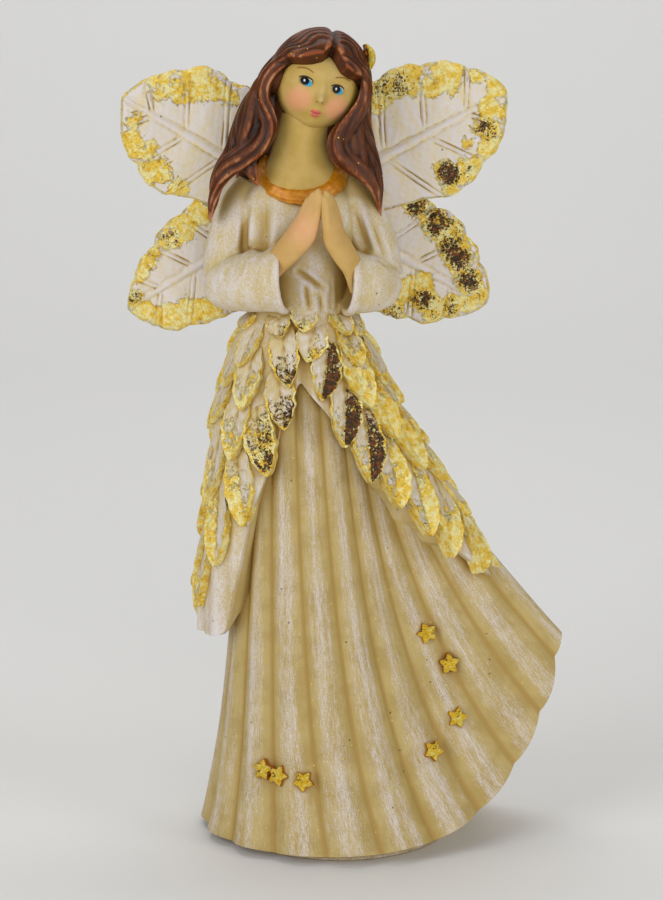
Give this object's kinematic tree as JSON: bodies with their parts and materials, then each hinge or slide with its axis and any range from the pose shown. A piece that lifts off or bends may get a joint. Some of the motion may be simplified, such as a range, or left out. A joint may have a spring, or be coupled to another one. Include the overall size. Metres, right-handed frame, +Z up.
{
  "type": "angel figurine",
  "caption": "Standing praying angel in a pleated gown with a tunic of leaves and leaf-shaped wings, cast in one piece on a low foot.",
  "frame": {"origin": "centre of the foot's flat underside, on the surface it stands on", "axes": "+Z up, the face and the praying hands towards -Y, +X to the side that the gown blows to"},
  "size_m": [0.1254, 0.073, 0.2297],
  "materials": {
    "painted_resin": "cream paint with a brown wash in the hollows and white dry-brushed over the ridges, on cast resin",
    "skin_paint": "matt flesh paint with blushed cheeks",
    "hair_paint": "satin brown paint rubbed with copper on the ridges",
    "gold_foil": "crumpled gold leaf with worn edges"
  },
  "bodies": {
    "root": {"angel_figurine": "painted_resin"}
  },
  "joints": []
}
